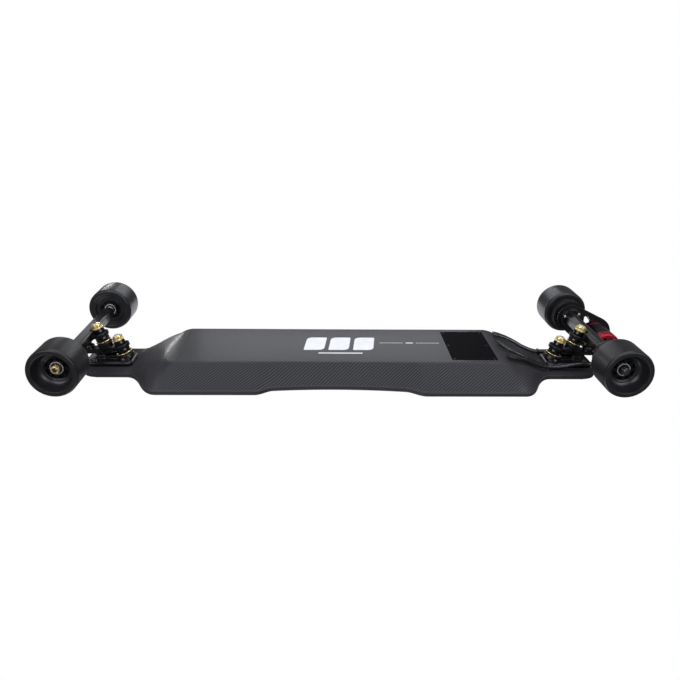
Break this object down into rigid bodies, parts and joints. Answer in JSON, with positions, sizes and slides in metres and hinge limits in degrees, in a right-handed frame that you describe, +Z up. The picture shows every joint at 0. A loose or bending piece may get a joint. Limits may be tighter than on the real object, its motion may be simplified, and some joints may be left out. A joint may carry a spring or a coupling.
{
  "type": "electric skateboard",
  "caption": "Electric longboard with a carbon battery-tub deck, double-kingpin trucks, urethane wheels and belt-driven rear wheels.",
  "frame": {"origin": "on the ground, under the middle of the whole board's bounding box", "axes": "+X towards the front truck (the one without motors), +Y towards the rider's left when facing +X, +Z up"},
  "size_m": [1.0456, 0.3498, 0.1095],
  "materials": {
    "carbon_deck": "satin clear coat over dark grey carbon-fibre twill",
    "deck_lid": "satin carbon laminate, hidden under the grip tape",
    "grip_tape": "coarse black grit",
    "truck_metal": "satin black anodised aluminium",
    "heat_sink": "matte black anodised aluminium plate",
    "wheel_core": "satin black moulded nylon",
    "pulley_plastic": "satin black moulded nylon",
    "urethane": "matte black urethane",
    "bushing_rubber": "black urethane bushing",
    "belt_rubber": "black toothed belt",
    "cable_sleeve": "glossy black heat-shrink sleeve",
    "cap_rubber": "soft black rubber",
    "steel": "bright zinc-plated steel",
    "gold_zinc": "yellow zinc-plated steel",
    "pinion_steel": "machined steel",
    "motor_shell": "red anodised end bell on a black can",
    "motor_base": "dark red anodised base with copper windings inside",
    "button_plastic": "satin black button",
    "port_metal": "black metal socket",
    "battery_wrap": "blue heat-shrink wrap",
    "controller_case": "black potted case"
  },
  "bodies": {
    "deck": {"deck_body": "carbon_deck", "deck_lid": "deck_lid", "grip_tape": "grip_tape", "esc_heat_sink": "heat_sink", "motor_controller": "controller_case", "battery_pack": "battery_wrap", "charge_port": "port_metal", "left_motor_cable": "cable_sleeve", "right_motor_cable": "cable_sleeve", "sensor_cable": "cable_sleeve", "front_baseplate": "truck_metal", "front_inner_kingpin": "steel", "front_inner_cup_washer": "gold_zinc", "front_inner_bushings": "bushing_rubber", "front_inner_kingpin_nut": "gold_zinc", "rear_baseplate": "truck_metal", "rear_inner_kingpin": "steel", "rear_inner_cup_washer": "gold_zinc", "rear_inner_bushings": "bushing_rubber", "rear_inner_kingpin_nut": "gold_zinc"},
    "power_button": {"power_button": "button_plastic"},
    "charge_cap": {"charge_cap": "cap_rubber"},
    "front_yoke": {"front_yoke": "truck_metal", "front_outer_kingpin": "steel", "front_outer_cup_washer": "gold_zinc", "front_outer_bushings": "bushing_rubber", "front_outer_kingpin_nut": "gold_zinc"},
    "front_hanger": {"front_hanger": "truck_metal", "front_axle": "steel"},
    "front_left_wheel": {"front_left_tyre": "urethane", "front_left_wheel_core": "wheel_core", "front_left_bearings": "steel"},
    "front_right_wheel": {"front_right_tyre": "urethane", "front_right_wheel_core": "wheel_core", "front_right_bearings": "steel"},
    "rear_yoke": {"rear_yoke": "truck_metal", "rear_outer_kingpin": "steel", "rear_outer_cup_washer": "gold_zinc", "rear_outer_bushings": "bushing_rubber", "rear_outer_kingpin_nut": "gold_zinc"},
    "rear_hanger": {"rear_hanger": "truck_metal", "rear_axle": "steel", "left_motor_mount": "truck_metal", "left_motor_stator": "motor_base", "left_belt": "belt_rubber", "right_motor_mount": "truck_metal", "right_motor_stator": "motor_base", "right_belt": "belt_rubber"},
    "rear_left_wheel": {"rear_left_tyre": "urethane", "rear_left_wheel_core": "wheel_core", "rear_left_bearings": "steel", "left_wheel_pulley": "pulley_plastic"},
    "rear_right_wheel": {"rear_right_tyre": "urethane", "rear_right_wheel_core": "wheel_core", "rear_right_bearings": "steel", "right_wheel_pulley": "pulley_plastic"},
    "left_motor_rotor": {"left_motor_rotor": "motor_shell", "left_motor_pulley": "pinion_steel"},
    "right_motor_rotor": {"right_motor_rotor": "motor_shell", "right_motor_pulley": "pinion_steel"}
  },
  "joints": [
    {"name": "front_yoke_tilt", "type": "hinge", "parent": "deck", "child": "front_yoke", "pos_m": [0.42679, 0, 0.06776], "axis": [0.8879, 0, 0.46], "range_deg": [-10, 10], "stiffness_Nm_per_rad": 60, "deforming": ["front_inner_bushings"]},
    {"name": "front_hanger_tilt", "type": "hinge", "parent": "front_yoke", "child": "front_hanger", "pos_m": [0.46159, 0, 0.04526], "axis": [0.6952, 0, 0.7188], "range_deg": [-12, 12], "stiffness_Nm_per_rad": 60, "deforming": ["front_outer_bushings"]},
    {"name": "front_left_wheel_spin", "type": "hinge", "parent": "front_hanger", "child": "front_left_wheel", "pos_m": [0.48135, 0.1458, 0.0415], "axis": [0, 1, 0], "continuous": true},
    {"name": "front_right_wheel_spin", "type": "hinge", "parent": "front_hanger", "child": "front_right_wheel", "pos_m": [0.48135, -0.1458, 0.0415], "axis": [0, 1, 0], "continuous": true},
    {"name": "rear_yoke_tilt", "type": "hinge", "parent": "deck", "child": "rear_yoke", "pos_m": [-0.38279, 0, 0.06776], "axis": [-0.8879, 0, 0.46], "range_deg": [-10, 10], "stiffness_Nm_per_rad": 60, "deforming": ["rear_inner_bushings", "left_motor_cable", "right_motor_cable", "sensor_cable"]},
    {"name": "rear_hanger_tilt", "type": "hinge", "parent": "rear_yoke", "child": "rear_hanger", "pos_m": [-0.41759, 0, 0.04526], "axis": [-0.6952, 0, 0.7188], "range_deg": [-12, 12], "stiffness_Nm_per_rad": 60, "deforming": ["rear_outer_bushings", "left_motor_cable", "right_motor_cable", "sensor_cable"]},
    {"name": "rear_left_wheel_spin", "type": "hinge", "parent": "rear_hanger", "child": "rear_left_wheel", "pos_m": [-0.43735, 0.1458, 0.0415], "axis": [0, 1, 0], "continuous": true},
    {"name": "rear_right_wheel_spin", "type": "hinge", "parent": "rear_hanger", "child": "rear_right_wheel", "pos_m": [-0.43735, -0.1458, 0.0415], "axis": [0, 1, 0], "continuous": true},
    {"name": "left_motor_spin", "type": "hinge", "parent": "rear_hanger", "child": "left_motor_rotor", "pos_m": [-0.489, 0.055, 0.0755], "axis": [0, 1, 0], "continuous": true},
    {"name": "right_motor_spin", "type": "hinge", "parent": "rear_hanger", "child": "right_motor_rotor", "pos_m": [-0.489, -0.055, 0.0755], "axis": [0, 1, 0], "continuous": true},
    {"name": "power_button_press", "type": "slide", "parent": "deck", "child": "power_button", "axis": [0, 0, 1], "range_m": [-0.0015, 0], "stiffness_N_per_m": 600, "springref_m": 0.001},
    {"name": "charge_cap_hinge", "type": "hinge", "parent": "deck", "child": "charge_cap", "pos_m": [-0.3025, -0.032, 0.1078], "axis": [0, -1, 0], "range_deg": [0, 115]}
  ],
  "couplings": [
    {"joint": "left_motor_spin", "follows": "rear_left_wheel_spin", "ratio": 2.4},
    {"joint": "right_motor_spin", "follows": "rear_right_wheel_spin", "ratio": 2.4}
  ]
}
